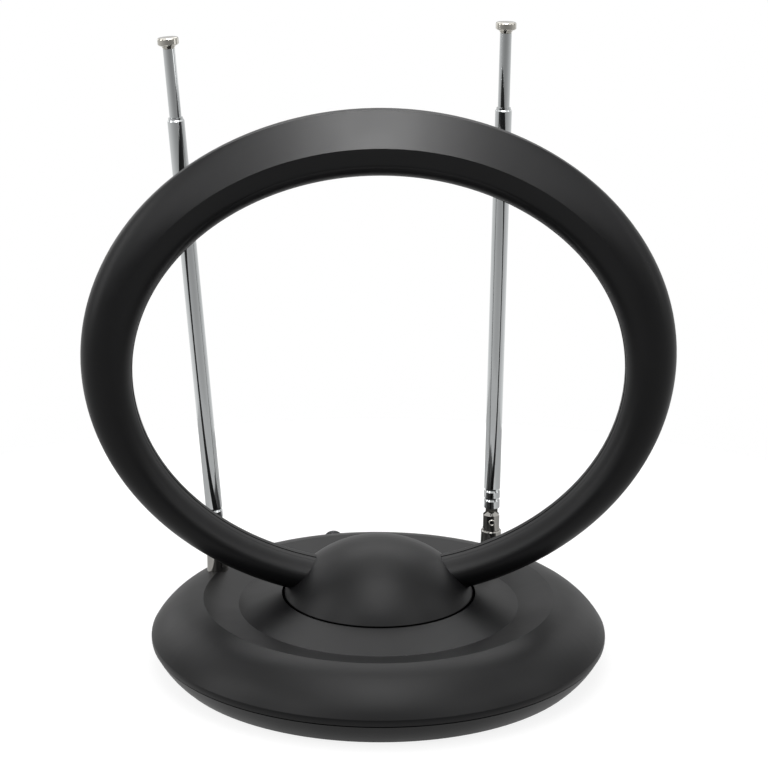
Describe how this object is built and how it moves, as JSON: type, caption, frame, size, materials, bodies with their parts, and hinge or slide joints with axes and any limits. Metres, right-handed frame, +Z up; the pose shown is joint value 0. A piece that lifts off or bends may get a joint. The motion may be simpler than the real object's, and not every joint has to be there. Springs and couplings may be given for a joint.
{
  "type": "indoor television antenna",
  "caption": "Table-top television antenna: a flat black ring on a dome that swivels in a round weighted base, with bright telescopic rods on tilting elbows behind the ring.",
  "frame": {"origin": "on the table under the middle of the round base", "axes": "+Z up, +X along the ring's width, the ring's ridged front faces -Y, the aerial socket is at the back"},
  "size_m": [0.2426, 0.19, 0.2592],
  "materials": {
    "black_plastic": "satin",
    "grey_plastic": "matte",
    "rubber": "matte",
    "steel": "zinc plated",
    "chrome": "polished",
    "nickel": "nickel plated",
    "brass": "bare",
    "aluminium": "mill",
    "circuit_board": "lacquered",
    "ferrite": "sintered"
  },
  "bodies": {
    "base": {"base_cover": "black_plastic", "base_plate": "black_plastic", "base_screws": "steel", "base_feet": "rubber", "ballast_plate": "steel", "balun_board": "circuit_board", "balun_core": "ferrite", "coax_jack": "nickel", "jack_washer": "nickel", "jack_nut": "nickel", "left_contact_lug": "brass", "right_contact_lug": "brass"},
    "ring_head": {"front_shell": "black_plastic", "rear_shell": "black_plastic", "loop_conductor": "aluminium", "swivel_plate": "grey_plastic", "swivel_screws": "steel", "spigot_washer": "steel", "spigot_screw": "steel"},
    "left_elbow_body": {"left_elbow": "nickel", "left_elbow_pin": "nickel", "left_elbow_washer": "steel", "left_elbow_screw": "steel"},
    "left_rod_body": {"left_rod_plug": "nickel", "left_main_tube": "chrome"},
    "left_middle_body": {"left_middle_tube": "chrome"},
    "left_tip_body": {"left_tip_tube": "chrome", "left_tip_knob": "chrome"},
    "right_elbow_body": {"right_elbow": "nickel", "right_elbow_pin": "nickel", "right_elbow_washer": "steel", "right_elbow_screw": "steel"},
    "right_rod_body": {"right_rod_plug": "nickel", "right_main_tube": "chrome"},
    "right_middle_body": {"right_middle_tube": "chrome"},
    "right_tip_body": {"right_tip_tube": "chrome", "right_tip_knob": "chrome"}
  },
  "joints": [
    {"name": "ring_swivel", "type": "hinge", "parent": "base", "child": "ring_head", "pos_m": [0, 0, 0.0235], "axis": [0, 0, 1], "range_deg": [-9, 31]},
    {"name": "left_turn", "type": "hinge", "parent": "base", "child": "left_elbow_body", "pos_m": [-0.06867, 0.03115, 0.0181], "axis": [0, 0, 1], "range_deg": [-60, 60]},
    {"name": "left_tilt", "type": "hinge", "parent": "left_elbow_body", "child": "left_rod_body", "pos_m": [-0.06867, 0.03115, 0.0402], "axis": [0, -1, 0], "range_deg": [-4.4, 80.6]},
    {"name": "left_middle_slide", "type": "slide", "parent": "left_rod_body", "child": "left_middle_body", "axis": [-0.0767, 0, 0.9971], "range_m": [0, 0.14]},
    {"name": "left_tip_slide", "type": "slide", "parent": "left_middle_body", "child": "left_tip_body", "axis": [-0.0767, 0, 0.9971], "range_m": [-0.0266, 0.105]},
    {"name": "right_turn", "type": "hinge", "parent": "base", "child": "right_elbow_body", "pos_m": [0.05123, 0.05532, 0.0181], "axis": [0, 0, 1], "range_deg": [-60, 60]},
    {"name": "right_tilt", "type": "hinge", "parent": "right_elbow_body", "child": "right_rod_body", "pos_m": [0.05123, 0.05532, 0.0402], "axis": [0, 1, 0], "range_deg": [-0.55, 84.45]},
    {"name": "right_middle_slide", "type": "slide", "parent": "right_rod_body", "child": "right_middle_body", "axis": [0.0096, 0, 1], "range_m": [0, 0.14]},
    {"name": "right_tip_slide", "type": "slide", "parent": "right_middle_body", "child": "right_tip_body", "axis": [0.0096, 0, 1], "range_m": [-0.0296, 0.105]}
  ]
}
